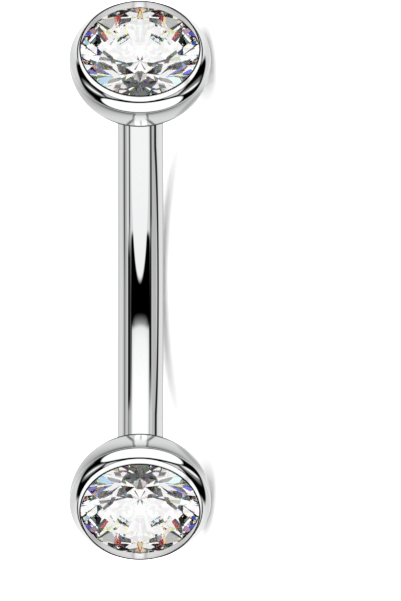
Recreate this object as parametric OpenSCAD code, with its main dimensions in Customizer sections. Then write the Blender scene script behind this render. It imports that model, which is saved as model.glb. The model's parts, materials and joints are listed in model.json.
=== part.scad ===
// Belly button ring: a curved barbell with a gem-set ball screwed into each end.
// Lengths are in millimetres. The piece lies at rest on its two balls and the middle of its bar,
// with the chord of the bar along X, the hollow of the bend towards -Y and the resting plane at Z = 0.

/* [Bar] */
// Diameter of the round bar (14 gauge)
bar_d = 1.63; // [1.4:0.01:1.8]
// Straight distance between the seats of the two balls
seat_span = 13.1; // [12:0.05:16]
// Length of the straight, drilled end of the bar
straight_len = 2.2; // [2.1:0.05:2.6]
// Radius of the rounded rim at the bar's end
bar_rim_r = 0.14; // [0.08:0.01:0.18]

/* [Thread] */
// Outer diameter of the threaded post
post_d = 0.9; // [0.8:0.01:1.0]
// Length of the post below the ball's seat
post_len = 1.5; // [1.2:0.05:1.6]
// Distance from one thread ridge to the next
thread_pitch = 0.225; // [0.2:0.005:0.25]
// Height of a thread ridge
thread_depth = 0.07; // [0.04:0.01:0.09]
// Gap between the post and the wall of the hole
thread_clearance = 0.03; // [0.02:0.005:0.04]
// Depth of the hole in the bar's end
hole_depth = 1.75; // [1.7:0.05:1.9]
// Width of the countersink round the hole
countersink = 0.09; // [0.05:0.01:0.12]

/* [Ball] */
// Diameter of the ball at its widest
ball_d = 5; // [4.8:0.1:5.6]
// Radius of the ball's side below its widest ring
flank_r = 1.8; // [1.7:0.05:1.9]
// Radius of the ball's shoulder above its widest ring
shoulder_r = 0.52; // [0.48:0.01:0.56]
// How far the seat is wider than the bar, all round
seat_margin = 0.025; // [0.01:0.005:0.05]
// Gap between the ball's seat and the bar's end
seat_gap = 0.02; // [0.01:0.005:0.03]

/* [Lip] */
// Radius of the crease where the ball's shoulder ends
crease_r = 2.22; // [2.2:0.01:2.24]
// Height of the lip's top above the crease
lip_rise = 0.2; // [0.16:0.01:0.24]
// Width of the narrow ledge in the crease
crease_ledge = 0.02; // [0.01:0.005:0.03]
// Inner radius of the lip
lip_r = 2.1; // [2.08:0.01:2.12]
// Thickness of the lip at its top
lip_top = 0.04; // [0.03:0.005:0.05]

/* [Stone] */
// Radius of the stone's girdle
girdle_r = 2.14; // [2.12:0.01:2.15]
// Height of the girdle's lower edge above the ball's widest ring
girdle_z = 0.25; // [0.22:0.01:0.28]
// Thickness of the girdle
girdle_t = 0.05; // [0.04:0.01:0.08]
// Radius of the table from its middle to a corner
table_r = 1.18; // [1.1:0.01:1.3]
// Slope of the crown's main facets
crown_angle = 31; // [28:0.5:34]
// Slope of the pavilion's main facets
pavilion_angle = 40.6; // [39:0.1:41]
// Reach of the star facets, as a share of the way from the table's edge to the girdle
star_share = 0.5; // [0.4:0.01:0.6]
// Reach of the lower girdle facets, as a share of the way from the girdle to the point
lower_share = 0.77; // [0.7:0.01:0.85]
// Gap between the stone and the metal round it
stone_gap = 0.02; // [0.01:0.005:0.03]

/* [Hidden] */
$fn = 96;
metal_colour = [0.78, 0.79, 0.8];
stone_colour = [0.9, 0.95, 1.0];

bar_r = bar_d / 2;
post_r = post_d / 2;
hole_r = post_r + thread_clearance;
ball_r = ball_d / 2;

// Each end leans from the chord at the slope of a 3-4-5 triangle, about 53 degrees
lean_run = 0.6;
lean_rise = 0.8;
end_angle = atan2(lean_rise, lean_run);

// The bend is an arc that meets both straight ends
seat_x = seat_span / 2;
bend_r = (seat_x - straight_len * lean_run) / lean_rise;
seat_y = -bend_r * (1 - lean_run) - straight_len * lean_rise;

// Below its widest ring the ball is two arcs, a flank and a flatter back. They meet smoothly on the
// line through both their centres, which has the same 3-4-5 slope
flank_x = ball_r - flank_r;
back_z = flank_x * lean_run / lean_rise;
back_r = flank_r + flank_x / lean_rise;
seat_r = bar_r + seat_margin;
seat_depth = sqrt(pow(back_r, 2) - pow(seat_r, 2)) - back_z;

// Above it a tight shoulder arc runs up to the crease
shoulder_x = ball_r - shoulder_r;
crease_z = sqrt(pow(shoulder_r, 2) - pow(crease_r - shoulder_x, 2));

// The lip's top is rounded over its whole thickness
lip_round_r = lip_top / 2;
lip_round_x = lip_r + lip_round_r;
lip_round_z = crease_z + lip_rise - lip_round_r;

// The ball's widest ring, seen from the middle of the bar in the plane of the bend
ball_y = seat_y - seat_depth * lean_rise;

// Tilt of the bend's plane at which both flanks and the middle of the bar touch the resting plane:
// flank_x * sqrt(1 - (s * lean_rise)^2) + flank_r = bar_r - ball_y * s, with s the tilt's sine
flank_lift = flank_r - bar_r;
tilt_a = pow(ball_y, 2) + pow(flank_x * lean_rise, 2);
tilt_b = ball_y * flank_lift;
tilt_c = pow(flank_lift, 2) - pow(flank_x, 2);
rest_tilt = asin((-tilt_b + sqrt(pow(tilt_b, 2) - tilt_a * tilt_c)) / tilt_a);

// Y reach of the bar's back and of the lip's top, and the move that centres them
front_turn = asin(lean_rise * cos(rest_tilt));
front_y = ball_y * cos(rest_tilt)
    - lip_round_x * cos(front_turn) - lip_round_z * sin(front_turn) - lip_round_r;
centre_y = -(bar_r + front_y) / 2;

// The stone's heights, measured from the ball's widest ring
crown_z = girdle_z + girdle_t;
table_z = crown_z + (girdle_r - table_r) * tan(crown_angle);
culet_z = girdle_z - girdle_r * tan(pavilion_angle);

// Moves a shape from the plane of the bend to where the piece lies at rest
module at_rest() {
    translate([0, centre_y, bar_r])
        rotate([-rest_tilt, 0, 0])
            children();
}

// Stands a shape on the bar's +X end, with its Z axis along the end and Z = 0 on the ball's seat
module on_end() {
    translate([seat_x, seat_y, 0])
        rotate([0, 90, -end_angle])
            children();
}

// Draws a shape on the top end, or mirrored on the bottom end
module at_side(side) {
    mirror([side < 0 ? 1 : 0, 0, 0])
        on_end()
            children();
}

// Half section of the bar's straight end, up to its rounded rim
module end_section() {
    difference() {
        translate([0, -straight_len])
            union() {
                square([bar_r, straight_len - seat_gap - bar_rim_r]);
                square([bar_r - bar_rim_r, straight_len - seat_gap]);
                translate([bar_r - bar_rim_r, straight_len - seat_gap - bar_rim_r])
                    circle(bar_rim_r);
            }
        translate([0, -seat_gap - hole_depth])
            square([hole_r, hole_depth + 1]);
        polygon([
            [0, -seat_gap - hole_r - countersink],
            [hole_r + countersink, -seat_gap],
            [hole_r + countersink, 1],
            [0, 1]
        ]);
    }
}

// The arc of the bar, with its middle at the origin, cut square where the straight ends begin
module bend() {
    reach = 2 * bend_r;
    intersection() {
        translate([0, -bend_r, 0])
            rotate_extrude()
                translate([bend_r, 0])
                    circle(bar_r);
        translate([0, -bend_r, -bar_d])
            linear_extrude(2 * bar_d)
                polygon([
                    [0, 0],
                    [reach * lean_rise, reach * lean_run],
                    [0, 2 * reach],
                    [-reach * lean_rise, reach * lean_run]
                ]);
    }
}

// Half section of the ball without its hollow, with Z = 0 on its widest ring
module ball_section() {
    intersection() {
        translate([0, -seat_depth])
            square([2 * ball_r, seat_depth]);
        union() {
            translate([flank_x, 0])
                circle(flank_r);
            back_section();
        }
    }
    intersection() {
        square([2 * ball_r, crease_z]);
        union() {
            square([shoulder_x, 2 * crease_z]);
            translate([shoulder_x, 0])
                circle(shoulder_r);
        }
    }
    lip_section();
}

// Half section of the ball's back, as far out as the line on which it meets the flank
module back_section() {
    reach = 2 * back_r;
    intersection() {
        translate([0, back_z])
            circle(back_r);
        polygon([
            [0, back_z],
            [reach * lean_rise, back_z - reach * lean_run],
            [0, back_z - 2 * reach]
        ]);
    }
}

// Half section of the raised lip round the stone
module lip_section() {
    foot = crease_r - crease_ledge;
    polygon([
        [lip_r - lip_top, 0],
        [foot, 0],
        [foot, crease_z],
        [lip_r + lip_top, lip_round_z],
        [lip_r - lip_top, lip_round_z]
    ]);
    translate([lip_round_x, lip_round_z])
        circle(lip_round_r);
}

// Half section of the hollow: the mouth inside the lip, the groove of the girdle, a ledge and a cone
module hollow_section() {
    groove_r = girdle_r + stone_gap;
    ledge_r = girdle_r - 0.2;
    ledge_z = girdle_z - (girdle_r - ledge_r) * tan(pavilion_angle) - 1.5 * stone_gap;
    translate([0, crown_z])
        square([lip_r, 2 * ball_r]);
    polygon([
        [0, culet_z - 5 * stone_gap],
        [ledge_r, ledge_z - 3 * stone_gap],
        [ledge_r, ledge_z],
        [groove_r, girdle_z - 1.5 * stone_gap],
        [groove_r, crown_z + stone_gap],
        [lip_r, crown_z + 3 * stone_gap],
        [0, crown_z + 3 * stone_gap]
    ]);
}

// Half section of the post, a ridge for each turn of the thread
module post_section() {
    root_r = post_r - thread_depth;
    turns = floor((post_len - thread_pitch) / thread_pitch);
    translate([0, -post_len])
        square([root_r, post_len + 0.05]);
    for (turn = [0 : turns - 1]) {
        ridge_z = -post_len + (turn + 0.75) * thread_pitch;
        polygon([
            [root_r - 0.01, ridge_z - thread_pitch * 0.42],
            [root_r, ridge_z - thread_pitch * 0.42],
            [post_r, ridge_z - thread_pitch * 0.08],
            [post_r, ridge_z + thread_pitch * 0.08],
            [root_r, ridge_z + thread_pitch * 0.42],
            [root_r - 0.01, ridge_z + thread_pitch * 0.42]
        ]);
    }
}

module gem_ball() {
    rotate_extrude()
        translate([0, seat_depth])
            difference() {
                ball_section();
                hollow_section();
            }
    rotate_extrude()
        post_section();
}

// One ring of a stone's corners: a radius, a height, how many, and the turn of the first
function corners(r, z, count, first) = [
    for (i = [0 : count - 1])
        [r * cos(first + i * 360 / count), r * sin(first + i * 360 / count), z]
];

// A round brilliant: table, 8 stars, 8 kites and 16 upper facets, girdle, 16 lower facets, 8 mains
module brilliant() {
    half_step = 22.5;
    table_edge_r = table_r * cos(half_step);
    star_r = table_edge_r + star_share * (girdle_r - table_edge_r);
    star_z = table_z - (star_r * cos(half_step) - table_r) * tan(crown_angle);
    lower_r = (1 - lower_share) * girdle_r;
    lower_z = culet_z + lower_r * cos(half_step) * tan(pavilion_angle);
    points = concat(
        corners(table_r, table_z, 8, 0),
        corners(star_r, star_z, 8, half_step),
        corners(girdle_r, crown_z, 16, 0),
        corners(girdle_r, girdle_z, 16, 0),
        corners(lower_r, lower_z, 8, half_step),
        [[0, 0, culet_z]]
    );
    star = 8;
    upper = 16;
    under = 32;
    lower = 48;
    culet = 56;
    faces = concat(
        [[for (k = [7 : -1 : 0]) k]],
        [for (k = [0 : 7]) [k, (k + 1) % 8, star + k]],
        [for (k = [0 : 7]) [k, star + k, upper + 2 * k, star + (k + 7) % 8]],
        [for (k = [0 : 7]) [star + k, upper + 2 * k + 1, upper + 2 * k]],
        [for (k = [0 : 7]) [star + k, upper + (2 * k + 2) % 16, upper + 2 * k + 1]],
        [for (j = [0 : 15]) [upper + j, upper + (j + 1) % 16, under + (j + 1) % 16, under + j]],
        [for (k = [0 : 7]) [lower + k, under + 2 * k, under + 2 * k + 1]],
        [for (k = [0 : 7]) [lower + k, under + 2 * k + 1, under + (2 * k + 2) % 16]],
        [for (k = [0 : 7]) [culet, lower + (k + 7) % 8, under + 2 * k, lower + k]]
    );
    translate([0, 0, seat_depth])
        polyhedron(points, faces);
}

module curved_bar() {
    color(metal_colour)
        at_rest() {
            bend();
            for (side = [1, -1])
                at_side(side)
                    rotate_extrude()
                        end_section();
        }
}

module top_ball() {
    color(metal_colour)
        at_rest()
            at_side(1)
                gem_ball();
}

module top_stone() {
    color(stone_colour)
        at_rest()
            at_side(1)
                brilliant();
}

module bottom_ball() {
    color(metal_colour)
        at_rest()
            at_side(-1)
                gem_ball();
}

module bottom_stone() {
    color(stone_colour)
        at_rest()
            at_side(-1)
                brilliant();
}

curved_bar();
top_ball();
top_stone();
bottom_ball();
bottom_stone();
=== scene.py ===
# %% [markdown]
# # A belly button ring in polished steel
#
# The real piece is a curved barbell: a round steel bar of 14 gauge, bent to an arc, with a
# gem-set ball screwed into each end. Its whole look comes from three things, and each has a
# part of this lesson: curves without a single flat spot, steel polished to a mirror, and two
# clear stones with 57 facets each.

# %% Load the frame
import json
import math

import bmesh
import bpy
from mathutils import Matrix, Vector

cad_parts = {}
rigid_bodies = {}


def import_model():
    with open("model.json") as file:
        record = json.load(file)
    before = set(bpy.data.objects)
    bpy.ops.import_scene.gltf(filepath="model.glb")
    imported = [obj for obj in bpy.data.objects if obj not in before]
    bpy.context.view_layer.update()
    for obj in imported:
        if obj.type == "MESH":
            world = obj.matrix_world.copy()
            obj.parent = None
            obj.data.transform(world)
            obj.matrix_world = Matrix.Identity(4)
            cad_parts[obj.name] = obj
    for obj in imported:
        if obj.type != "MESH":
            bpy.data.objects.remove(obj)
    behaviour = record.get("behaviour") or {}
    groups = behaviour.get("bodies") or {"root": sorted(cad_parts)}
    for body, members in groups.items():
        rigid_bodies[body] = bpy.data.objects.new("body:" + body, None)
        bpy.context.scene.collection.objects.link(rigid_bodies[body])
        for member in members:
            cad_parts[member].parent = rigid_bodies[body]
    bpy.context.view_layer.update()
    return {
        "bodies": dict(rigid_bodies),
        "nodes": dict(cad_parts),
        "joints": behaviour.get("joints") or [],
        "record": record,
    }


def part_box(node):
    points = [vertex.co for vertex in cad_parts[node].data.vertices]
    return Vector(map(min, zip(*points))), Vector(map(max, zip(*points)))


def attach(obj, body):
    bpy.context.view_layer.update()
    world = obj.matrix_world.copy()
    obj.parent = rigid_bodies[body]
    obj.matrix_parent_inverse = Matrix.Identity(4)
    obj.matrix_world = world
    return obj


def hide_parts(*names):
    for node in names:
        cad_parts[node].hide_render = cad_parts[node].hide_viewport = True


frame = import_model()
print("the packed model holds", sorted(frame["nodes"]))

# %% [markdown]
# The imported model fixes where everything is. Each joint's axis runs out of one end of the bar,
# so the two axes also give the plane of the bend and how far that plane is tilted: the piece
# lies on its two balls and on the middle of its bar, as it does on a table. We take these
# directions from the frame and keep only the drawing's own sizes as numbers, in metres. The seat
# span is the distance between the two balls' seats, along the chord of the bar.

# %% Directions and places that the frame gives
MM = 0.001
BAR_R = 0.815 * MM
SEAT_SPAN = 13.1 * MM
STRAIGHT_LEN = 2.2 * MM

axes = {joint["child"]: Vector(joint["axis"]).normalized() for joint in frame["joints"]}
end_axis = axes["top_end"]
lean = math.acos(end_axis.x)
tilt = math.atan2(end_axis.z, -end_axis.y)

along = Vector((1, 0, 0))
outward = Vector((0, math.cos(tilt), -math.sin(tilt)))
across = along.cross(outward)
middle = Vector((0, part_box("curved_bar")[1].y - BAR_R, BAR_R))

bend_r = (SEAT_SPAN / 2 - STRAIGHT_LEN * math.cos(lean)) / math.sin(lean)
print(f"bend of {bend_r / MM:.2f} mm, tilted by {math.degrees(tilt):.2f} degrees")

# %% [markdown]
# The camera comes first, because every later choice is judged through it. In the photograph
# the bar has the same width all along, so the lens is a very long one. The camera looks along
# the plane of the bend with the chord of the bar upright, which puts it a little above the
# floor that the piece lies on, and rolled on its side. The balls stand nearer to the camera than
# the bar's middle does, and most of the picture's detail is on them, so the lens is worked out
# for their distance.

# %% The camera
FRAME_W, FRAME_H = 401, 601
PX_PER_MM = 28.36
BAR_MIDDLE_PX = (140.0, 280.3)
CAMERA_DISTANCE = 0.62
CAMERA_SIGHT = 10
SENSOR = 36

toward = -outward
right = along.cross(toward)
off_right = (FRAME_W / 2 - BAR_MIDDLE_PX[0]) / PX_PER_MM * MM
off_up = -(FRAME_H / 2 - BAR_MIDDLE_PX[1]) / PX_PER_MM * MM
ball_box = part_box("top_ball")
balls_nearer = ((ball_box[0] + ball_box[1]) / 2 - middle).dot(toward)


def make_camera():
    """The scene's camera, square on to the chord of the bar."""
    data = bpy.data.cameras.new("camera")
    data.sensor_width = SENSOR
    data.lens = SENSOR * (CAMERA_DISTANCE - balls_nearer) / (FRAME_H / PX_PER_MM * MM)
    data.clip_end = CAMERA_SIGHT
    camera = bpy.data.objects.new("camera", data)
    aim = middle + right * off_right + along * off_up
    turn = Matrix((right, along, toward)).transposed()
    camera.matrix_world = Matrix.Translation(aim + toward * CAMERA_DISTANCE) @ turn.to_4x4()
    bpy.context.scene.collection.objects.link(camera)
    bpy.context.scene.camera = camera
    return camera


camera = make_camera()
print(f"a lens of {camera.data.lens:.0f} mm, {CAMERA_DISTANCE} m away")

# %% [markdown]
# Every metal piece here is round, so it can be made as a skin over rings of points. A ring
# needs only a centre, two directions across it and a radius. One skin runs without a break
# from the bottom of one drilled hole, over the whole outside, to the bottom of the other. A
# mesh made this way has evenly spaced points, and mirror steel shows the slightest unevenness.

# %% Rings and skins
def ring(centre, first, second, radius, columns):
    """Points round a centre. The radius may be a number or a function of the angle."""
    radius_at = radius if callable(radius) else lambda angle: radius
    angles = [2 * math.pi * i / columns for i in range(columns)]
    return [
        centre + (first * math.cos(a) + second * math.sin(a)) * radius_at(a) for a in angles
    ]


def skin(name, rings, zones):
    """One closed mesh over rings of points. A ring of one point is a pole.

    Each ring has a zone, the number of the material between it and the next ring.
    """
    points, starts, slots = [], [], []
    for loop in rings:
        starts.append(len(points))
        points.extend(loop)
    faces = []
    for low, high, a, b, zone in zip(rings, rings[1:], starts, starts[1:], zones):
        count = max(len(low), len(high))
        slots.extend([zone] * count)
        for i in range(count):
            j = (i + 1) % count
            if len(low) == 1:
                faces.append((a, b + j, b + i))
            elif len(high) == 1:
                faces.append((a + i, a + j, b))
            else:
                faces.append((a + i, a + j, b + j, b + i))
    mesh = bpy.data.meshes.new(name)
    mesh.from_pydata(points, [], faces)
    mesh.polygons.foreach_set("material_index", slots)
    return mesh


def arc(centre, radius, start, end, steps):
    """Points (r, z) along an arc of a profile, from one angle to another in degrees."""
    turns = [math.radians(start + (end - start) * i / steps) for i in range(steps + 1)]
    return [(centre[0] + radius * math.cos(a), centre[1] + radius * math.sin(a)) for a in turns]


# %% [markdown]
# A finished mesh becomes a piece in the same few steps each time. It is shaded smooth except at
# real edges, rides on the body that carries it, and stands for the plain solid of that name.

# %% Making a mesh a piece
SHARP_EDGE = math.radians(28)


def add_piece(mesh, body, slot, *nodes):
    """Links a mesh as a smooth piece that rides on a body and stands for CAD nodes."""
    mesh.shade_smooth()
    mesh.set_sharp_from_angle(angle=SHARP_EDGE)
    piece = bpy.data.objects.new(mesh.name, mesh)
    bpy.context.scene.collection.objects.link(piece)
    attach(piece, body)
    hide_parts(*nodes)
    print(f"{piece.name}: {len(mesh.polygons)} faces, rides on {body}")
    return piece


# %% [markdown]
# A thread is a ridge that climbs by one pitch with each turn. On a ring of points it is only a
# radius that changes with the angle, so post and hole can use one function, with the ridge
# standing out of the post and cut into the wall of the hole. The ridge fades out at both ends.

# %% The thread
PITCH = 0.225 * MM
THREAD_DEPTH = 0.07 * MM
RIDGE_FOOT = 0.42
RIDGE_CREST = 0.08
ROWS_PER_TURN = 12


def thread(foot_r, crest_r, height, fade):
    """Radius round a threaded ring at a height, as a function of the angle."""
    def radius_at(angle):
        phase = (height / PITCH - angle / (2 * math.pi)) % 1
        share = (RIDGE_FOOT - abs(phase - 0.5)) / (RIDGE_FOOT - RIDGE_CREST)
        return foot_r + (crest_r - foot_r) * max(0, min(1, share)) * max(0, min(1, fade))
    return radius_at


def threaded(foot_r, crest_r, start, end):
    """Pairs of a radius function and a height, for the rings of a thread from start to end."""
    rows = round(abs(end - start) / PITCH * ROWS_PER_TURN)
    pairs = []
    for i in range(rows + 1):
        height = start + (end - start) * i / rows
        fade = min(abs(height - start), abs(end - height)) / PITCH * 2
        pairs.append((thread(foot_r, crest_r, height, fade), height))
    return pairs


print(f"a ridge of {THREAD_DEPTH / MM:.2f} mm that climbs {PITCH / MM:.3f} mm with each turn")

# %% [markdown]
# The bar is a wire of one thickness: straight, then an arc, then straight again. A curve with a
# round bevel would give that much, but not its ends. So each ring is placed square on the line,
# and at the ends the rings turn inwards over a rounded rim, cross the flat face, go down a small
# countersink and run back inside as the threaded hole. Polish and thread are two zones of one
# mesh, and each zone later gets a steel of its own.

# %% The curved bar
MIRROR, THREADED, SATIN = 0, 1, 2

RIM_R = 0.14 * MM
SEAT_GAP = 0.02 * MM
HOLE_R = 0.48 * MM
HOLE_DEPTH = 1.75 * MM
COUNTERSINK = 0.09 * MM
DRILL_POINT = 0.25 * MM

BAR_COLUMNS = 112
ARC_ROWS = 150
STRAIGHT_ROWS = 6
RIM_STEPS = 10

arc_half = bend_r * lean
half_length = arc_half + STRAIGHT_LEN - SEAT_GAP


def bar_place(s):
    """Centre of the bar's line at a distance from its middle, and the direction outward."""
    turn = max(-lean, min(lean, s / bend_r))
    radial = along * math.sin(turn) + outward * math.cos(turn)
    tangent = along * math.cos(turn) - outward * math.sin(turn)
    past = s - turn * bend_r
    return middle + radial * bend_r - outward * bend_r + tangent * past, radial


def end_profile():
    """Radius, distance back from the bar's end and zone, from the rim to the hole's point."""
    face_r = HOLE_R + COUNTERSINK
    rim = [(r, RIM_R - back) for r, back in arc((BAR_R - RIM_R, 0), RIM_R, 0, 90, RIM_STEPS)]
    hole = threaded(HOLE_R, HOLE_R + THREAD_DEPTH, COUNTERSINK, HOLE_DEPTH)
    hole.append((0, HOLE_DEPTH + DRILL_POINT))
    return [(r, back, MIRROR) for r, back in rim + [(face_r, 0)]] + [
        (r, back, THREADED) for r, back in hole
    ]


def bar_rings():
    """Rings from the bottom of one hole, along the outside, to the bottom of the other."""
    end = end_profile()
    near_end = [(r, back - half_length, zone) for r, back, zone in reversed(end)]
    far_end = [(r, half_length - back, zone) for r, back, zone in end]
    straight = half_length - RIM_R - arc_half
    steps = [-arc_half - straight * (1 - i / STRAIGHT_ROWS) for i in range(1, STRAIGHT_ROWS)]
    steps += [-arc_half + 2 * arc_half * i / ARC_ROWS for i in range(ARC_ROWS + 1)]
    steps += [arc_half + straight * i / STRAIGHT_ROWS for i in range(1, STRAIGHT_ROWS)]
    rings, zones = [], []
    for r, s, zone in near_end + [(BAR_R, s, MIRROR) for s in steps] + far_end:
        centre, radial = bar_place(s)
        columns = 1 if r == 0 else BAR_COLUMNS
        rings.append(ring(centre, radial, across, r, columns))
        zones.append(zone)
    return rings, zones


bar_piece = add_piece(skin("bar_steel", *bar_rings()), "bar", "polished_steel", "curved_bar")

# %% [markdown]
# Ball and stone are drawn together, because the ball's hollow follows the stone. A stone's
# drawing starts at its girdle, the widest ring. The table, the flat on top, and the point below
# follow from two angles, as they do for the cutter.

# %% The drawing of a ball and its stone
BALL_R = 2.5 * MM
FLANK_R = 1.8 * MM
SHOULDER_R = 0.52 * MM
SEAT_R = 0.84 * MM
CREASE_R = 2.22 * MM
CREASE_LEDGE = 0.02 * MM
LIP_RISE = 0.2 * MM
LIP_R = 2.1 * MM
LIP_TOP = 0.04 * MM

GIRDLE_R = 2.14 * MM
GIRDLE_Z = 0.25 * MM
GIRDLE_T = 0.05 * MM
TABLE_R = 1.18 * MM
CROWN_ANGLE = math.radians(31)
PAVILION_ANGLE = math.radians(40.6)
STONE_GAP = 0.02 * MM

flank_x = BALL_R - FLANK_R
back_z = flank_x * math.cos(lean) / math.sin(lean)
back_r = FLANK_R + flank_x / math.sin(lean)
seat_depth = math.sqrt(back_r**2 - SEAT_R**2) - back_z
shoulder_x = BALL_R - SHOULDER_R
crease_z = math.sqrt(SHOULDER_R**2 - (CREASE_R - shoulder_x) ** 2)
crown_z = GIRDLE_Z + GIRDLE_T
table_z = crown_z + (GIRDLE_R - TABLE_R) * math.tan(CROWN_ANGLE)
culet_z = GIRDLE_Z - GIRDLE_R * math.tan(PAVILION_ANGLE)
print(f"a stone of {(table_z - culet_z) / MM:.2f} mm in a ball {seat_depth / MM:.2f} mm deep")

# %% [markdown]
# Each ball is one turned piece: a threaded post, a flat seat against the bar, a deep cup, a
# tight shoulder and a thin lip that is rolled over the stone. Its outline is a chain of arcs
# that meet without a kink, so that a reflection runs over the whole cup without a jump. Only
# the crease under the lip stays sharp, and there the photograph has its blackest line. The
# lip's edge is much tighter than anything else on the piece, and its inner wall leans back
# under it, so that the wall hides behind the edge as it does once a lip is pressed down.

# %% The ball's outline
POST_R = 0.45 * MM
POST_LEN = 1.5 * MM
TIP_CHAMFER = 0.12 * MM

CUP_STEPS = 26
SHOULDER_STEPS = 16
EDGE_R = 0.006 * MM
EDGE_STEPS = 4
LIP_SUPPORT = 0.93
PRESSED_IN = 0.015 * MM

LEDGE_R = GIRDLE_R - 0.2 * MM
LEDGE_GAP = 1.5 * STONE_GAP
LEDGE_STEP = 3 * STONE_GAP
POINT_GAP = 5 * STONE_GAP

mouth_r = LIP_R - PRESSED_IN
edge_z = crease_z + LIP_RISE - EDGE_R


def post_profile():
    """The post from its tip to the seat, as pairs of radius and height above the widest ring."""
    tip = -seat_depth - POST_LEN
    root_r = POST_R - THREAD_DEPTH
    return [(0, tip), (root_r - TIP_CHAMFER, tip)] + threaded(
        root_r, POST_R, tip + TIP_CHAMFER, -seat_depth
    )


def cup_profile():
    """The outside of the ball, from the seat to the crease."""
    join = -math.degrees(math.pi / 2 - lean)
    seat_turn = math.degrees(math.asin(-(seat_depth + back_z) / back_r))
    shoulder_turn = math.degrees(math.asin(crease_z / SHOULDER_R))
    back = arc((0, back_z), back_r, seat_turn, join, CUP_STEPS)
    flank = arc((flank_x, 0), FLANK_R, join, 0, CUP_STEPS)
    shoulder = arc((shoulder_x, 0), SHOULDER_R, 0, shoulder_turn, SHOULDER_STEPS)
    return back + flank[1:] + shoulder[1:]


def lip_profile():
    """Over the rolled lip, from the crease to the mouth of the hollow."""
    foot = (CREASE_R - CREASE_LEDGE, crease_z)
    slope = math.degrees(math.atan2(foot[0] - LIP_R - LIP_TOP, edge_z - crease_z))
    top = arc((LIP_R + LIP_TOP - EDGE_R, edge_z), EDGE_R, slope, 90, EDGE_STEPS)
    top += arc((mouth_r + EDGE_R, edge_z), EDGE_R, 90, 180, EDGE_STEPS)[:-1]
    support = tuple(a + (b - a) * LIP_SUPPORT for a, b in zip(foot, top[0]))
    return [foot, support] + top


def hollow_profile():
    """The stone's seat inside the lip: mouth, groove, ledge and a brushed cone behind it."""
    groove_r = GIRDLE_R + STONE_GAP
    ledge_z = GIRDLE_Z - (GIRDLE_R - LEDGE_R) * math.tan(PAVILION_ANGLE) - LEDGE_GAP
    return [
        (mouth_r, edge_z),
        (groove_r, crown_z + STONE_GAP),
        (groove_r, GIRDLE_Z - LEDGE_GAP),
        (LEDGE_R, ledge_z),
        (LEDGE_R, ledge_z - LEDGE_STEP),
        (0, culet_z - POINT_GAP),
    ]


ball_profile, ball_zones = [], []
for stretch, zone in (
    (post_profile(), THREADED), (cup_profile() + lip_profile(), MIRROR), (hollow_profile(), SATIN)
):
    ball_profile += stretch
    ball_zones += [zone] * len(stretch)
print(f"the ball's outline has {len(ball_profile)} points")

# %% [markdown]
# The outline is turned about the axis of the bar's end, once for each side. The second ball is
# the mirror image of the first, so its directions are mirrored and its outline is the same.

# %% Both balls
BALL_COLUMNS = 176

seat_place, _ = bar_place(half_length + SEAT_GAP)


def end_place(body):
    """Centre of a ball's widest ring, and the directions x, y and z of its own drawing."""
    axis = axes[body]
    side = 1 if axis.x > 0 else -1
    seat = Vector((side * seat_place.x, seat_place.y, seat_place.z))
    first = across * -side
    return seat + axis * seat_depth, first, axis.cross(first), axis


def turned(name, profile, zones, body):
    """A skin turned about an end's axis, from pairs of radius and height."""
    centre, first, second, axis = end_place(body)
    rings = [
        ring(centre + axis * z, first, second, r, 1 if r == 0 else BALL_COLUMNS)
        for r, z in profile
    ]
    return skin(name, rings, zones)


balls = [
    add_piece(turned(f"{side}_ball_steel", ball_profile, ball_zones, f"{side}_end"),
              f"{side}_end", "polished_steel", f"{side}_ball")
    for side in ("top", "bottom")
]

# %% [markdown]
# A brilliant has a table, 8 stars, 8 kites and 16 small facets above its girdle, and 16 small and
# 8 long facets below it. Each of them is a plane through three corners of the drawing. There are
# 8 corners round the table, 8 where the stars meet the kites, 16 on each rim of the girdle, 8
# below it, and the point. All but the point lie on sixteenths of a circle.

# %% The facets of a brilliant
TURNS = 16
TURN = 2 * math.pi / TURNS
STAR_SHARE = 0.5
LOWER_SHARE = 0.77


def corners(r, z):
    """The sixteen places round the stone at one radius and height."""
    return [Vector((r * math.cos(i * TURN), r * math.sin(i * TURN), z)) for i in range(TURNS)]


def facet_planes():
    """Every facet as three corners: the table, then one eighth of the stone after another."""
    table_edge_r = TABLE_R * math.cos(TURN)
    star_r = table_edge_r + STAR_SHARE * (GIRDLE_R - table_edge_r)
    star_z = table_z - (star_r * math.cos(TURN) - TABLE_R) * math.tan(CROWN_ANGLE)
    lower_r = (1 - LOWER_SHARE) * GIRDLE_R
    lower_z = culet_z + lower_r * math.cos(TURN) * math.tan(PAVILION_ANGLE)
    table, star = corners(TABLE_R, table_z), corners(star_r, star_z)
    rim, under = corners(GIRDLE_R, crown_z), corners(GIRDLE_R, GIRDLE_Z)
    lower = corners(lower_r, lower_z)
    culet = Vector((0, 0, culet_z))
    planes = [[table[0], table[2], table[4]]]
    for i in range(0, TURNS, 2):
        planes += [
            [table[i], star[i + 1], table[(i + 2) % TURNS]],
            [star[i - 1], rim[i], star[i + 1]],
            [rim[i], rim[i + 1], star[i + 1]],
            [rim[i], star[i - 1], rim[i - 1]],
            [under[i], lower[i + 1], under[i + 1]],
            [under[i], under[i - 1], lower[i - 1]],
            [lower[i - 1], culet, lower[i + 1]],
        ]
    return planes


facets = facet_planes()
print(f"{len(facets)} facets to grind")

# %% [markdown]
# The stone could be a mesh of flat faces between those corners, but a cutter grinds a brilliant,
# facet after facet, from a round blank, and so do we: a drum is cut by one plane after another,
# and each cut is closed again. The blank is a little narrower than the drawing's girdle, so the
# cuts leave some of its round wall, and that is the scalloped girdle of a real stone.

# %% Grinding the stones
GIRDLE_SIDES = 160
BLANK_R = 2.115 * MM
BLANK_DEPTH = 6 * MM
ON_THE_CUT = 1e-8


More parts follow.
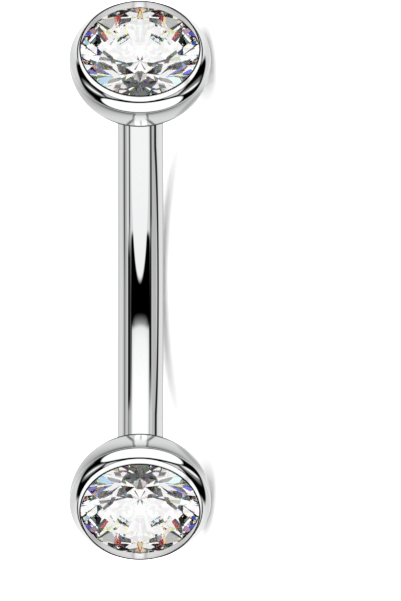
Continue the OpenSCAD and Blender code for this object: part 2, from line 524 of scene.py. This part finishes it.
def blank():
    """The round blank, a drum that reaches past the table and the point."""
    drum = bmesh.new()
    bmesh.ops.create_cone(
        drum, cap_ends=True, segments=GIRDLE_SIDES,
        radius1=BLANK_R, radius2=BLANK_R, depth=BLANK_DEPTH,
    )
    return drum


def cut(stone, points):
    """Grinds one facet: cuts along the plane of three points and closes the cut."""
    normal = (points[1] - points[0]).cross(points[2] - points[0]).normalized()
    inside = Vector((0, 0, (crown_z + GIRDLE_Z) / 2))
    if normal.dot(inside - points[0]) > 0:
        normal.negate()
    whole = stone.verts[:] + stone.edges[:] + stone.faces[:]
    result = bmesh.ops.bisect_plane(
        stone, geom=whole, plane_co=points[0], plane_no=normal, clear_outer=True, dist=ON_THE_CUT
    )
    rim = [item for item in result["geom_cut"] if isinstance(item, bmesh.types.BMEdge)]
    bmesh.ops.edgeloop_fill(stone, edges=rim)


def brilliant(name, body):
    """A stone in place in its ball."""
    stone = blank()
    for points in facets:
        cut(stone, points)
    bmesh.ops.recalc_face_normals(stone, faces=stone.faces[:])
    centre, first, second, axis = end_place(body)
    turn = Matrix((first, second, axis)).transposed().to_4x4()
    bmesh.ops.transform(stone, matrix=Matrix.Translation(centre) @ turn, verts=stone.verts[:])
    mesh = bpy.data.meshes.new(name)
    stone.to_mesh(mesh)
    stone.free()
    return mesh


stones = [
    add_piece(brilliant(f"{side}_stone_cut", f"{side}_end"),
              f"{side}_end", "clear_stone", f"{side}_stone")
    for side in ("top", "bottom")
]
for stone in stones:
    stone.data.shade_flat()

# %% [markdown]
# Materials are built from nodes, and most of those nodes only do sums. Three helpers keep that
# short. One makes an empty group with named sockets, one places a sum on numbers or sockets, and
# one starts a material.

# %% Helpers for nodes
def new_group(name, inputs, outputs):
    """An empty shader node group with named sockets, and its two end nodes."""
    group = bpy.data.node_groups.new(name, "ShaderNodeTree")
    for label, default in inputs.items():
        socket = group.interface.new_socket(label, in_out="INPUT", socket_type="NodeSocketFloat")
        socket.default_value = default
    for label, kind in outputs.items():
        group.interface.new_socket(label, in_out="OUTPUT", socket_type=kind)
    return group, group.nodes.new("NodeGroupInput"), group.nodes.new("NodeGroupOutput")


def maths(tree, operation, *values, clamp=False):
    """A maths node on sockets or numbers, which gives its output socket."""
    node = tree.nodes.new("ShaderNodeMath")
    node.operation = operation
    node.use_clamp = clamp
    for slot, value in zip(node.inputs, values):
        if isinstance(value, bpy.types.NodeSocket):
            tree.links.new(value, slot)
        else:
            slot.default_value = value
    return node.outputs[0]


def new_material(name):
    """A material with nodes, and its node tree."""
    material = bpy.data.materials.new(name)
    material.use_nodes = True
    return material, material.node_tree


# %% [markdown]
# All steel here comes off the same lathe and differs only in its finish. One group makes the
# finish: faint polishing lines across the length of the bar and a haze that comes and goes. It is
# measured in millimetres on the piece itself, so it moves with the piece when a ball is
# unscrewed. A picture of brushed metal could do this too, but it would have to be wrapped round
# every curve, and noise needs no wrapping.

# %% The finish of turned steel
HAZE_SCALE = 0.7
HAZE_START = 0.4
LINE_STRETCH = (1, 0.06, 0.06)


def scaled(group, vector, factors):
    """A vector multiplied by one factor for each direction."""
    node = group.nodes.new("ShaderNodeVectorMath")
    node.operation = "MULTIPLY"
    node.inputs[1].default_value = factors
    group.links.new(vector, node.inputs[0])
    return node.outputs[0]


def noise(group, place, detail):
    """A noise texture on a place."""
    node = group.nodes.new("ShaderNodeTexNoise")
    node.inputs["Detail"].default_value = detail
    group.links.new(place, node.inputs["Vector"])
    return node


def steel_finish_group():
    """Roughness and height of turned and polished steel, in the piece's own millimetres."""
    group, given, result = new_group(
        "steel_finish",
        {"Roughness": 0.02, "Haze": 0.02, "Lines": 0.2, "Line Scale": 12},
        {"Roughness": "NodeSocketFloat", "Height": "NodeSocketFloat"},
    )
    value = given.outputs
    in_mm = scaled(group, group.nodes.new("ShaderNodeTexCoord").outputs["Object"], [1 / MM] * 3)
    haze = noise(group, in_mm, detail=3)
    haze.inputs["Scale"].default_value = HAZE_SCALE
    lines = noise(group, scaled(group, in_mm, LINE_STRETCH), detail=2)
    group.links.new(value["Line Scale"], lines.inputs["Scale"])
    cloud = maths(group, "SUBTRACT", haze.outputs["Fac"], HAZE_START, clamp=True)
    rough = maths(group, "MULTIPLY_ADD", cloud, value["Haze"], value["Roughness"])
    height = maths(group, "MULTIPLY", lines.outputs["Fac"], value["Lines"])
    group.links.new(rough, result.inputs["Roughness"])
    group.links.new(height, result.inputs["Height"])
    return group


steel_finish = steel_finish_group()
sockets = steel_finish.interface.items_tree
print("the finish takes", [socket.name for socket in sockets if socket.in_out == "INPUT"])

# %% [markdown]
# A photographer of jewellery hides with cards whatever a mirror must not show. Here the Light
# Path node does that work, because it tells what kind of ray has met a surface. Steel more than
# 2.5 mm away is left out of a mirror, so that the far ball isn't a needle in the bar. The inside
# of the steel is left out too, and so is the brushed hollow behind a stone, at any distance.
# Steel is clear to the rays that come out of a stone, which show the studio instead of dark
# metal. A stone is left out of the steel's mirrors, but not of its own reflections.

# %% What stays out of the reflections
FAR_REFLECTION = 2.5 * MM


def steel_unwanted(tree, reach):
    """1 for a reflection from beyond the reach or of the inside, and for the view from a stone."""
    path = tree.nodes.new("ShaderNodeLightPath").outputs
    inside = tree.nodes.new("ShaderNodeNewGeometry").outputs["Backfacing"]
    far = maths(tree, "GREATER_THAN", path["Ray Length"], reach)
    mirrored = maths(tree, "MULTIPLY", maths(tree, "MAXIMUM", far, inside), path["Is Glossy Ray"])
    return maths(tree, "MAXIMUM", mirrored, path["Is Transmission Ray"])


def stone_unwanted(tree):
    """1 where a stone is mirrored by the steel, and 0 for the reflections inside the stone."""
    path = tree.nodes.new("ShaderNodeLightPath").outputs
    outside = maths(tree, "LESS_THAN", path["Transmission Depth"], 0.5)
    return maths(tree, "MULTIPLY", outside, path["Is Glossy Ray"])


def drop(tree, unwanted, surface, output):
    """Lets a surface show only where it is wanted."""
    clear = tree.nodes.new("ShaderNodeBsdfTransparent")
    either = tree.nodes.new("ShaderNodeMixShader")
    tree.links.new(unwanted, either.inputs["Fac"])
    tree.links.new(surface, either.inputs[1])
    tree.links.new(clear.outputs[0], either.inputs[2])
    tree.links.new(either.outputs[0], output.inputs["Surface"])


# %% [markdown]
# The bar and the balls are mirrors, with a colour a little under white. The threads are as the
# tool left them. The hollow behind each stone is brushed, and its reach of 0 keeps it out of
# every reflection. Three materials by hand would repeat the same nodes, so one function builds
# each of them from its row of a short table.

# %% The steel
RELIEF = 0.01 * MM

FINISHES = [
    dict(zone=MIRROR, name="mirror_steel", colour=(0.86, 0.865, 0.87),
         roughness=0.01, haze=0.02, lines=0.2, bump=0.02, reach=FAR_REFLECTION),
    dict(zone=THREADED, name="threaded_steel", colour=(0.6, 0.6, 0.6),
         roughness=0.2, haze=0.2, lines=1, bump=0.5, reach=FAR_REFLECTION),
    dict(zone=SATIN, name="satin_steel", colour=(0.97, 0.97, 0.97),
         roughness=0.15, haze=0.05, lines=1, bump=0.1, reach=0),
]


def steel(values):
    """One steel, from a row of the finishes."""
    material, tree = new_material(values["name"])
    shader = tree.nodes["Principled BSDF"]
    shader.inputs["Base Color"].default_value = (*values["colour"], 1)
    shader.inputs["Metallic"].default_value = 1
    finish = tree.nodes.new("ShaderNodeGroup")
    finish.node_tree = steel_finish
    for label in ("Roughness", "Haze", "Lines"):
        finish.inputs[label].default_value = values[label.lower()]
    tree.links.new(finish.outputs["Roughness"], shader.inputs["Roughness"])
    relief = tree.nodes.new("ShaderNodeBump")
    relief.inputs["Distance"].default_value = RELIEF
    relief.inputs["Strength"].default_value = values["bump"]
    tree.links.new(finish.outputs["Height"], relief.inputs["Height"])
    tree.links.new(relief.outputs["Normal"], shader.inputs["Normal"])
    unwanted = steel_unwanted(tree, values["reach"])
    drop(tree, unwanted, shader.outputs[0], tree.nodes["Material Output"])
    return material


steels = {values["zone"]: steel(values) for values in FINISHES}
for piece in [bar_piece, *balls]:
    for zone in (MIRROR, THREADED, SATIN):
        piece.data.materials.append(steels[zone])
print("steel:", [material.name for material in steels.values()])

# %% [markdown]
# Zirconia bends light strongly, and blue light more than red. That fan of colours is a stone's
# fire. A ready-made glass shader bends all colours alike, so this one is built from plain
# refractions. Light that enters is bent by one of them. Light that leaves is shared out between
# three, each with its own index: half of the red goes one way, half of the blue another, and the
# rest goes with the green, because the fire in the photograph is soft. The facets reflect by
# Fresnel's law, and their first reflection is weakened, as a polarising filter would do.

# %% The stones
ENTRY_IOR = 2.15
EXIT_IORS = {(0.5, 0, 0): 2.12, (0.5, 1, 0.5): 2.15, (0, 0, 0.5): 2.19}
FRONT_GLEAM = 0.15
WHITE = (1, 1, 1)


def refraction(tree, colour, index):
    """Clear bending of one colour of light."""
    node = tree.nodes.new("ShaderNodeBsdfRefraction")
    node.inputs["Color"].default_value = (*colour, 1)
    node.inputs["Roughness"].default_value = 0
    node.inputs["IOR"].default_value = index
    return node.outputs[0]


def leaving_light(tree):
    """The light that leaves a stone, spread into its colours."""
    leaving, *others = [refraction(tree, colour, index) for colour, index in EXIT_IORS.items()]
    for other in others:
        both = tree.nodes.new("ShaderNodeAddShader")
        tree.links.new(leaving, both.inputs[0])
        tree.links.new(other, both.inputs[1])
        leaving = both.outputs[0]
    return leaving


def mixed(tree, share, first, second):
    """A mix of two shaders."""
    node = tree.nodes.new("ShaderNodeMixShader")
    tree.links.new(share, node.inputs["Fac"])
    tree.links.new(first, node.inputs[1])
    tree.links.new(second, node.inputs[2])
    return node.outputs[0]


def zirconia():
    """Clear zirconia with its fire."""
    material, tree = new_material("clear_zirconia")
    tree.nodes.clear()
    leaving_side = tree.nodes.new("ShaderNodeNewGeometry").outputs["Backfacing"]
    entering = refraction(tree, WHITE, ENTRY_IOR)
    bent = mixed(tree, leaving_side, entering, leaving_light(tree))
    mirror = tree.nodes.new("ShaderNodeBsdfGlossy")
    mirror.inputs["Roughness"].default_value = 0
    mirror.inputs["Color"].default_value = (*WHITE, 1)
    share = tree.nodes.new("ShaderNodeFresnel")
    share.inputs["IOR"].default_value = ENTRY_IOR
    gleam = maths(tree, "MAXIMUM", leaving_side, FRONT_GLEAM)
    reflected = maths(tree, "MULTIPLY", share.outputs[0], gleam)
    surface = mixed(tree, reflected, bent, mirror.outputs[0])
    output = tree.nodes.new("ShaderNodeOutputMaterial")
    drop(tree, stone_unwanted(tree), surface, output)
    return material


glass = zirconia()
for piece in stones:
    piece.data.materials.append(glass)
print(f"{glass.name}: index {ENTRY_IOR}, spread over {list(EXIT_IORS.values())}")

# %% [markdown]
# Mirror steel has no look of its own: it shows the studio. A chrome ball in front of the camera
# would show the whole studio in one round picture, and that picture is the chart on which we
# lay out the light. Its x and y run from -1 to 1, to the right and along the bar. The chart has
# a handy side: the bar shows its columns one to one, so an upright panel on the chart becomes
# an upright stripe on the bar, at the same share of the width. A panel is a soft-edged patch of
# light or shade, and a later panel lies over the ones before it. It may also be only a frame of
# some width, and a frame of the width FILLED is wider than any panel, so it fills the panel.

# %% A panel on the chart
FILLED = 9


def tilted(group, value):
    """A place on the chart, measured from a panel's middle along its two sides."""
    off_x = maths(group, "SUBTRACT", value["X"], value["Middle X"])
    off_y = maths(group, "SUBTRACT", value["Y"], value["Middle Y"])
    cosine, sine = maths(group, "COSINE", value["Tilt"]), maths(group, "SINE", value["Tilt"])
    x = maths(group, "MULTIPLY_ADD", off_x, cosine, maths(group, "MULTIPLY", off_y, sine))
    y = maths(group, "SUBTRACT", maths(group, "MULTIPLY", off_y, cosine),
              maths(group, "MULTIPLY", off_x, sine))
    return x, y


def inset_from_edge(group, value, x, y):
    """How far inside a panel's edge a place lies. The panel is a bent, rounded oblong."""
    sag = maths(group, "MULTIPLY", maths(group, "MULTIPLY", x, x), value["Bend"])
    x_share = maths(group, "ABSOLUTE", maths(group, "DIVIDE", x, value["Half Width"]))
    y_share = maths(group, "ABSOLUTE",
                    maths(group, "DIVIDE", maths(group, "SUBTRACT", y, sag), value["Half Height"]))
    total = maths(group, "ADD", maths(group, "POWER", x_share, value["Squareness"]),
                  maths(group, "POWER", y_share, value["Squareness"]))
    reach = maths(group, "POWER", total, maths(group, "DIVIDE", 1, value["Squareness"]))
    least = maths(group, "MINIMUM", value["Half Width"], value["Half Height"])
    return maths(group, "MULTIPLY", maths(group, "SUBTRACT", 1, reach), least)


def panel_group():
    """Lays a soft-edged panel over the light behind it, or only a frame as wide as it says."""
    group, given, result = new_group(
        "studio_panel",
        {"X": 0, "Y": 0, "Middle X": 0, "Middle Y": 0, "Half Width": 1, "Half Height": 1,
         "Tilt": 0, "Bend": 0, "Squareness": 3, "Softness": 0.02, "Frame": FILLED, "Low": 1,
         "High": 1, "Behind": 1},
        {"Light": "NodeSocketFloat"},
    )
    value = given.outputs
    x, y = tilted(group, value)
    inset = inset_from_edge(group, value, x, y)
    past_frame = maths(group, "SUBTRACT", value["Frame"], inset)
    mask = group.nodes.new("ShaderNodeMapRange")
    mask.interpolation_type = "SMOOTHSTEP"
    group.links.new(maths(group, "MINIMUM", inset, past_frame), mask.inputs["Value"])
    group.links.new(maths(group, "MULTIPLY", value["Softness"], -1), mask.inputs["From Min"])
    group.links.new(value["Softness"], mask.inputs["From Max"])
    height = maths(group, "DIVIDE", y, value["Half Height"])
    height = maths(group, "MULTIPLY_ADD", height, 0.5, 0.5, clamp=True)
    rise = maths(group, "SUBTRACT", value["High"], value["Low"])
    own = maths(group, "MULTIPLY_ADD", rise, height, value["Low"])
    gap = maths(group, "SUBTRACT", own, value["Behind"])
    light = maths(group, "MULTIPLY_ADD", gap, mask.outputs[0], value["Behind"])
    group.links.new(light, result.inputs["Light"])
    return group


def panel(at, half, light, tilt=0, bend=0, square=3, soft=0.02, frame=FILLED):
    """One panel: its middle and half size on the chart, and its light at foot and head."""
    return {"Middle X": at[0], "Middle Y": at[1], "Half Width": half[0], "Half Height": half[1],
            "Low": light[0], "High": light[1], "Tilt": math.radians(tilt), "Bend": bend,
            "Squareness": square, "Softness": soft, "Frame": frame}


panel_nodes = panel_group()
print(f"a panel is {len(panel_nodes.nodes)} nodes")

# %% [markdown]
# The balls' studio is white, with a broad soft shade in front. The tight shoulder under the lip
# gathers a wide part of the studio into a narrow crescent, so the panels that show there are
# large on the chart: black shapes first, then a small light on each side and the wide white
# window between them. One thin frame lies where the lip's narrow land mirrors it, as the bright
# ring round the stone.

# %% The balls' panels
BALL_PANELS = [
    # the white wall beyond the ball and the soft shade in front of it
    panel((0, 0.85), (0.9, 0.35), (1.25, 1.5), soft=0.2),
    panel((-0.04, -0.31), (0.70, 0.40), (0.10, 0.10), square=2.5, soft=0.17),
    # the fan of light that stands on the bar's end
    panel((0.01, -0.76), (0.09, 0.23), (1.7, 0.2), square=6, soft=0.01),
    panel((0.01, -0.93), (0.010, 0.04), (0.6, 0.6), soft=0.012),
    panel((-0.08, -0.70), (0.17, 0.015), (0.25, 0.25), tilt=83, soft=0.012),
    panel((0.10, -0.70), (0.17, 0.015), (0.25, 0.25), tilt=94, soft=0.012),
    panel((-0.15, -0.92), (0.08, 0.02), (0.3, 0.2), tilt=48, soft=0.015),
    panel((0.16, -0.92), (0.08, 0.02), (0.3, 0.2), tilt=132, soft=0.015),
    # the dark line round the seat and a grey streak on the right
    panel((0, -0.998), (0.6, 0.02), (0.05, 0.05), bend=0.50, soft=0.012),
    panel((0.72, -0.62), (0.3, 0.03), (0.55, 0.55), tilt=50, soft=0.03),
    # the bright ring on the lip
    panel((0, 0.19), (0.958, 0.779), (1.5, 1.5), square=2, soft=0.004, frame=0.016),
    # the black shapes of the crescent
    panel((0, 0.62), (0.40, 0.42), (0, 0), square=2.5),
    panel((-0.49, 0.10), (0.19, 0.36), (0, 0), tilt=-12, square=2.5, soft=0.02),
    panel((0.57, 0.06), (0.21, 0.40), (0, 0), tilt=10, square=2.5, soft=0.02),
    panel((0.02, -0.13), (0.62, 0.31), (0, 0), bend=-0.35, square=2, soft=0.015),
    # a soft light with a bright core on each side, and the window between them
    panel((-0.47, 0.10), (0.13, 0.12), (0.3, 0.4), tilt=-15, square=2, soft=0.04),
    panel((-0.46, 0.09), (0.11, 0.05), (1.3, 1.3), tilt=-12, square=2, soft=0.02),
    panel((0.55, 0.08), (0.15, 0.13), (0.5, 0.2), square=2, soft=0.04),
    panel((0.57, 0.02), (0.13, 0.06), (1.3, 1.3), square=2, soft=0.02),
    panel((0.03, -0.205), (0.50, 0.30), (1.5, 1.5), bend=-0.2, square=2.2, soft=0.012),
]
print(f"{len(BALL_PANELS)} panels for the balls")

# %% [markdown]
# A facet is flat, and the camera is far away, so a whole facet shows a single place of the
# studio. That is why a cut stone flashes: one card more or less turns whole facets on or off.
# The stones' studio is black. A few white cards light the wide table, dark cards are laid over
# them, mostly in pairs, and a chequered card on each side breaks the ring of facets round the
# table into light and dark. A board over the whole chart would darken the table too.

# %% The stones' cards
def card(at, half, light, tilt=0):
    """A flat card with crisp edges, for the stones."""
    return panel(at, half, (light, light), tilt=tilt, square=6, soft=0.006)


def pair(x, y, half, light):
    """Two cards that mirror each other, first the left one and then the right one."""
    return [card((side * x, y), half, light) for side in (-1, 1)]


def chequered(inner, foot, step, columns, rows, light):
    """A chequered card on each side of the chart: every other square of a board."""
    squares = [(c, r) for c in range(columns) for r in range(rows) if (c + r) % 2 == 0]
    return [
        card((side * (inner + step * c), foot + step * r), (step / 2, step / 2), light)
        for side in (-1, 1) for c, r in squares
    ]


STONE_PANELS = [
    # white cards across the middle and towards the rim
    card((0, -0.1), (0.8, 0.22), 1.2),
    card((0, 0.2), (0.47, 0.22), 1),
    card((0, 0.62), (0.4, 0.12), 1),
    card((0, -0.82), (0.6, 0.07), 1),
    *pair(0.42, -0.9, (0.12, 0.07), 1),
    *pair(0.85, -0.5, (0.12, 0.15), 1),
    *pair(0.97, 0, (0.05, 0.2), 1),
    # grey and black cards over them
    *pair(0.33, 0.35, (0.04, 0.04), 0.6),
    card((-0.24, -0.16), (0.05, 0.12), 0, tilt=-20),
    card((0.24, -0.15), (0.03, 0.12), 0, tilt=20),
    card((-0.43, -0.1), (0.04, 0.2), 0, tilt=15),
    card((0.45, -0.1), (0.05, 0.2), 0, tilt=-15),
    *pair(0.46, 0.12, (0.04, 0.05), 0),
    *pair(0.43, 0.30, (0.05, 0.05), 0),
    *pair(0.53, 0.22, (0.06, 0.12), 0),
    *pair(0.39, 0.06, (0.03, 0.05), 0.3),
    *pair(0.18, 0.31, (0.05, 0.03), 0.1),
    # black bars across the middle
    card((0, 0.44), (0.3, 0.012), 0),
    card((0, 0.87), (0.3, 0.10), 0),
    *chequered(inner=0.22, foot=-0.2, step=0.08, columns=5, rows=6, light=0.1),
]
print(f"{len(STONE_PANELS)} cards for the stones")

# %% [markdown]
# The bar's studio is upright stripes, because that is what a long polished rod shows. Its
# middle is black where the camera side of the studio is dark, with a white window above and
# below it. The stripes on the left and right are narrow, because the round bar squeezes much of
# the studio into a narrow band along each edge.

# %% The bar's panels
def stripe(x, half, light, y=0, reach=1, bend=0, soft=0.012):
    """An upright stripe for the bar, bent to the left as it leaves its middle height."""
    return panel((x, y), (reach, half), (light, light), tilt=90, bend=bend, square=20, soft=soft)


BAR_PANELS = [
    # the pale edges
    stripe(0.90, 0.10, 1.08),
    stripe(0.98, 0.02, 0.7),
    stripe(-0.94, 0.015, 0.75),
    # grey and dark stripes on the left
    stripe(-0.75, 0.02, 0.72),
    stripe(-0.69, 0.03, 0.28),
    stripe(-0.71, 0.025, 0.10, y=-0.4, reach=0.35, bend=-0.15),
    stripe(-0.63, 0.03, 0.62),
    stripe(-0.475, 0.03, 0.12, y=-0.6, reach=0.4),
    stripe(-0.49, 0.06, 0.02, y=0.25, reach=0.45),
    # grey and dark stripes on the right
    stripe(0.60, 0.09, 0.7),
    stripe(0.765, 0.037, 0.02, y=0.03, reach=0.9, bend=0.28),
    stripe(0.46, 0.045, 0.1, y=-0.65, reach=0.38),
    stripe(0.45, 0.035, 0.02, y=0.15, reach=0.45),
    # the black middle with its two legs
    panel((0, 0), (0.42, 0.28), (0, 0), square=8, soft=0.02),
    panel((-0.40, 0.3), (0.03, 0.38), (0, 0), square=4, soft=0.02),
    panel((0.40, 0.3), (0.03, 0.38), (0, 0), square=4, soft=0.02),
    # the two white windows
    panel((0, 0.65), (0.35, 0.37), (1.3, 1.7), square=6, soft=0.08),
    panel((-0.02, -0.52), (0.38, 0.52), (1.35, 1.3), bend=-2, square=3, soft=0.02),
]
print(f"{len(BAR_PANELS)} panels for the bar")

# %% [markdown]
# In the photograph the lower ball is the mirror image of the upper one, and the bar is lit in
# yet another way, so each had a studio of its own. Here each of them gets a wide round shell
# that glows by its panels, lets all light through, and is linked to that one piece. Lamps could
# do it too, but a mirror shows the shape of a lamp, and a glowing shell can show any shape.

# %% The light of a room
def chart_place(tree):
    """X and Y of the chart: which way a mirror faces that shows this place of the shell."""
    place = tree.nodes.new("ShaderNodeTexCoord").outputs["Object"]
    for operation, other in (("NORMALIZE", None), ("ADD", (0, 0, 1)), ("NORMALIZE", None)):
        node = tree.nodes.new("ShaderNodeVectorMath")
        node.operation = operation
        tree.links.new(place, node.inputs[0])
        if other:
            node.inputs[1].default_value = other
        place = node.outputs["Vector"]
    chart = tree.nodes.new("ShaderNodeSeparateXYZ")
    tree.links.new(place, chart.inputs[0])
    return chart.outputs


def laid_panels(tree, panels, grey):
    """The light of all panels, laid one after the other over an even grey."""
    chart = chart_place(tree)
    light = grey
    for values in panels:
        node = tree.nodes.new("ShaderNodeGroup")
        node.node_tree = panel_nodes
        for label, value in values.items():
            node.inputs[label].default_value = value
        tree.links.new(chart["X"], node.inputs["X"])
        tree.links.new(chart["Y"], node.inputs["Y"])
        if isinstance(light, bpy.types.NodeSocket):
            tree.links.new(light, node.inputs["Behind"])
        else:
            node.inputs["Behind"].default_value = light
        light = node.outputs["Light"]
    return light


def room_material(name, panels, grey, power):
    """A shell's material: it glows by its panels and lets all light through."""
    material, tree = new_material(name)
    material.cycles.emission_sampling = "NONE"
    tree.nodes.clear()
    glow = tree.nodes.new("ShaderNodeEmission")
    tree.links.new(laid_panels(tree, panels, grey), glow.inputs["Color"])
    glow.inputs["Strength"].default_value = power
    clear = tree.nodes.new("ShaderNodeBsdfTransparent")
    both = tree.nodes.new("ShaderNodeAddShader")
    tree.links.new(glow.outputs[0], both.inputs[0])
    tree.links.new(clear.outputs[0], both.inputs[1])
    output = tree.nodes.new("ShaderNodeOutputMaterial")
    tree.links.new(both.outputs[0], output.inputs["Surface"])
    return material


# %% [markdown]
# The shells have different sizes, so that no two of them lie in the same place. Their middle is
# the middle of the bar, and they are so much wider than the piece that this makes no difference
# to a ball. The camera and the floor don't see them, and they cast no shadow. The shells of the
# stones are seen through the facets as well, and that is what fills a stone with light.

# %% The rooms
STEEL_POWER, STONE_POWER = 0.78, 1
WHITE_ROOM, BLACK_ROOM = 1, 0.02
SHELL_SIDES, SHELL_ROWS = 48, 24
ROOM_RADII = {
    "bar": 1, "top_ball": 1.1, "bottom_ball": 1.2, "top_stone": 1.3, "bottom_stone": 1.4,
}


def add_room(room, panels, grey, piece, power, side=1, clear=False):
    """A glowing shell that only one piece reflects, turned to the camera's own axes."""
    name = f"room_of_{room}"
    sphere = bmesh.new()
    bmesh.ops.create_uvsphere(
        sphere, u_segments=SHELL_SIDES, v_segments=SHELL_ROWS, radius=ROOM_RADII[room]
    )
    mesh = bpy.data.meshes.new(name)
    sphere.to_mesh(mesh)
    sphere.free()
    mesh.materials.append(room_material(name, panels, grey, power))
    shell = bpy.data.objects.new(name, mesh)
    turn = Matrix((right, along * side, toward)).transposed()
    shell.matrix_world = Matrix.Translation(middle) @ turn.to_4x4()
    bpy.context.scene.collection.objects.link(shell)
    lit = bpy.data.collections.new(f"lit_by_{name}")
    lit.objects.link(piece)
    shell.light_linking.receiver_collection = lit
    shell.visible_camera = shell.visible_diffuse = shell.visible_shadow = False
    shell.visible_volume_scatter = False
    shell.visible_transmission = clear
    print(f"{name} lights {piece.name}")
    return shell


add_room("bar", BAR_PANELS, WHITE_ROOM, bar_piece, STEEL_POWER)
for side, ball, stone, sign in zip(("top", "bottom"), balls, stones, (1, -1)):
    add_room(f"{side}_ball", BALL_PANELS, WHITE_ROOM, ball, STEEL_POWER, side=sign)
    add_room(f"{side}_stone", STONE_PANELS, BLACK_ROOM, stone, STONE_POWER, side=sign, clear=True)

# %% [markdown]
# The white behind the piece could be a lit wall, but a plain white world has no edges. It shows
# only to the camera and lights only the floor, because the steel and the stones have their rooms.
# The floor is white paper, so pale that just the soft shadow under the piece can be seen. Light
# runs through many facets before it leaves a stone, so it gets more bounces than usual.

# %% The world and the floor
WORLD_STRENGTH = 2.2
FLOOR_HALF = 2
PAPER_WHITE = 0.97
BOUNCES = {
    "max_bounces": 24, "glossy_bounces": 16, "transmission_bounces": 16,
    "transparent_max_bounces": 64,
}


def white_world():
    """A white world for the camera and the floor alone."""
    world = bpy.data.worlds.new("white_room")
    world.use_nodes = True
    world.cycles.sampling_method = "NONE"
    tree = world.node_tree
    path = tree.nodes.new("ShaderNodeLightPath").outputs
    seen = maths(tree, "MAXIMUM", path["Is Camera Ray"], path["Is Diffuse Ray"])
    background = tree.nodes["Background"]
    background.inputs["Color"].default_value = (*WHITE, 1)
    tree.links.new(maths(tree, "MULTIPLY", seen, WORLD_STRENGTH), background.inputs["Strength"])
    return world


def white_floor():
    """A sheet of white paper under the piece, which no mirror shows."""
    mesh = bpy.data.meshes.new("floor")
    sheet = [(x * FLOOR_HALF, y * FLOOR_HALF, 0) for x, y in ((-1, -1), (1, -1), (1, 1), (-1, 1))]
    mesh.from_pydata(sheet, [], [(0, 1, 2, 3)])
    floor = bpy.data.objects.new("floor", mesh)
    bpy.context.scene.collection.objects.link(floor)
    paper, tree = new_material("white_paper")
    shader = tree.nodes["Principled BSDF"]
    shader.inputs["Base Color"].default_value = (PAPER_WHITE, PAPER_WHITE, PAPER_WHITE, 1)
    shader.inputs["Roughness"].default_value = 1
    shader.inputs["Specular IOR Level"].default_value = 0
    mesh.materials.append(paper)
    floor.visible_glossy = False
    floor.visible_transmission = False
    return floor


bpy.context.scene.world = white_world()
bpy.context.scene.view_settings.view_transform = "Standard"
for limit, count in BOUNCES.items():
    setattr(bpy.context.scene.cycles, limit, count)
floor = white_floor()
print(f"a floor {2 * FLOOR_HALF} m wide, and up to {BOUNCES['max_bounces']} bounces of light")

# %% [markdown]
# Light that is split into colours and reflected many times leaves grain in the stones. More
# samples would remove it slowly. The compositor's denoiser smooths the finished picture instead,
# and that takes only a moment.

# %% The picture's grain
def denoise_picture():
    """Takes the grain out of the finished picture."""
    scene = bpy.context.scene
    scene.use_nodes = True
    tree = scene.node_tree
    tree.nodes.clear()
    layers = tree.nodes.new("CompositorNodeRLayers")
    denoise = tree.nodes.new("CompositorNodeDenoise")
    result = tree.nodes.new("CompositorNodeComposite")
    tree.links.new(layers.outputs["Image"], denoise.inputs["Image"])
    tree.links.new(denoise.outputs["Image"], result.inputs["Image"])
    return tree


print("the picture goes through", [node.name for node in denoise_picture().nodes])
